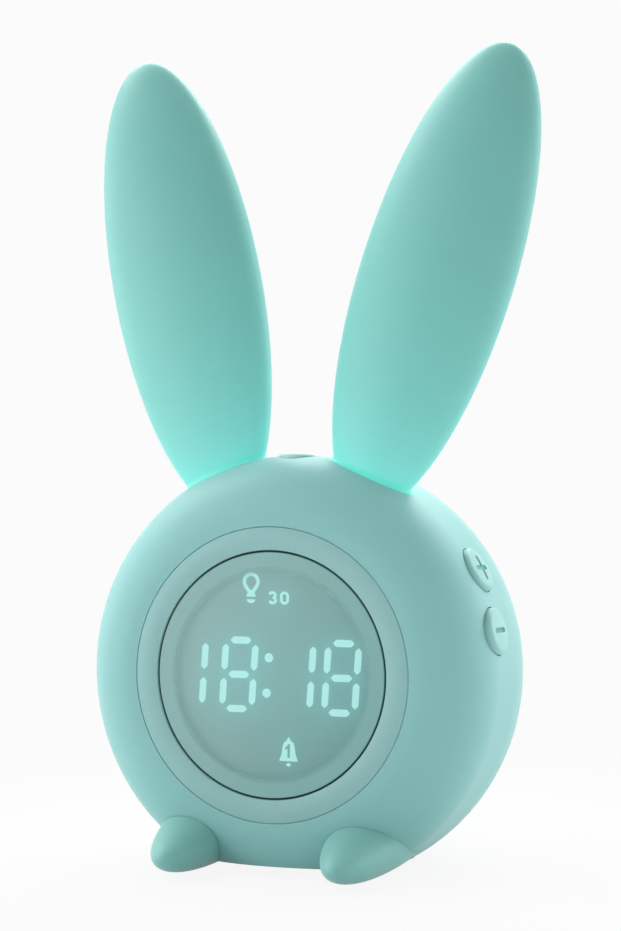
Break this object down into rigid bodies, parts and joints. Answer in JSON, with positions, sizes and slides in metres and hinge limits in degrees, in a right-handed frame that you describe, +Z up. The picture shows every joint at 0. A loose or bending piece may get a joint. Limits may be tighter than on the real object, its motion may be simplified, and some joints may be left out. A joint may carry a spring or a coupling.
{
  "type": "kids alarm clock with night light",
  "caption": "Rabbit-eared bedside alarm clock with a round display, long glowing night-light ears, paw feet, push buttons and a speaker at the back.",
  "frame": {"origin": "on the table under the centre of the round body, on the underside of the base pad", "axes": "+Z up along the ears' height, the display faces -Y, +X to the right of a person who reads the display"},
  "size_m": [0.121, 0.0929, 0.2074],
  "materials": {
    "housing_plastic": "satin",
    "bezel_plastic": "satin",
    "button_plastic": "satin",
    "lens_acrylic": "clear tinted",
    "gasket_rubber": "matte",
    "module_plastic": "matte",
    "segment_light": "lit",
    "board_green": "solder mask",
    "silicone": "satin translucent",
    "inner_plastic": "moulded",
    "pad_rubber": "matte",
    "switch_plastic": "matte",
    "plunger_plastic": "smooth",
    "cell_foil": "foil",
    "speaker_frame": "black",
    "steel": "zinc plated"
  },
  "bodies": {
    "housing": {"alarm_switch": "switch_plastic", "base_pad": "pad_rubber", "bezel_ring": "bezel_plastic", "board_screws": "steel", "cell": "cell_foil", "cell_tray": "inner_plastic", "charge_board": "board_green", "charge_screws": "steel", "charge_socket": "steel", "clamp_screws": "steel", "display_lens": "lens_acrylic", "display_module": "module_plastic", "display_segments": "segment_light", "ear_clamp_left": "inner_plastic", "ear_clamp_right": "inner_plastic", "ear_led_left": "board_green", "ear_led_right": "board_green", "ear_left": "silicone", "ear_right": "silicone", "foot_left": "silicone", "foot_right": "silicone", "foot_screws": "steel", "foot_washers": "steel", "front_housing": "housing_plastic", "housing_screws": "steel", "lens_gasket": "gasket_rubber", "main_board": "board_green", "minus_switch": "switch_plastic", "plus_switch": "switch_plastic", "rear_housing": "housing_plastic", "set_switch": "switch_plastic", "snooze_board": "board_green", "snooze_switch": "switch_plastic", "speaker": "speaker_frame", "speaker_clamp": "inner_plastic", "speaker_screws": "steel", "switch_carrier_left": "inner_plastic", "switch_carrier_right": "inner_plastic", "switch_screws": "steel", "tray_screws": "steel"},
    "snooze_key": {"snooze_button": "button_plastic", "snooze_plunger": "plunger_plastic"},
    "plus_key": {"plus_button": "button_plastic", "plus_plunger": "plunger_plastic"},
    "minus_key": {"minus_button": "button_plastic", "minus_plunger": "plunger_plastic"},
    "set_key": {"set_button": "button_plastic", "set_plunger": "plunger_plastic"},
    "alarm_key": {"alarm_button": "button_plastic", "alarm_plunger": "plunger_plastic"}
  },
  "joints": [
    {"name": "snooze_press", "type": "slide", "parent": "housing", "child": "snooze_key", "axis": [0, -0.0506, -0.9987], "range_m": [0, 0.0006], "stiffness_N_per_m": 1500},
    {"name": "plus_press", "type": "slide", "parent": "housing", "child": "plus_key", "axis": [-0.8738, -0.0246, -0.4857], "range_m": [0, 0.0006], "stiffness_N_per_m": 1500},
    {"name": "minus_press", "type": "slide", "parent": "housing", "child": "minus_key", "axis": [-0.977, -0.0108, -0.2128], "range_m": [0, 0.0006], "stiffness_N_per_m": 1500},
    {"name": "set_press", "type": "slide", "parent": "housing", "child": "set_key", "axis": [0.8738, -0.0246, -0.4857], "range_m": [0, 0.0006], "stiffness_N_per_m": 1500},
    {"name": "alarm_press", "type": "slide", "parent": "housing", "child": "alarm_key", "axis": [0.977, -0.0108, -0.2128], "range_m": [0, 0.0006], "stiffness_N_per_m": 1500}
  ]
}
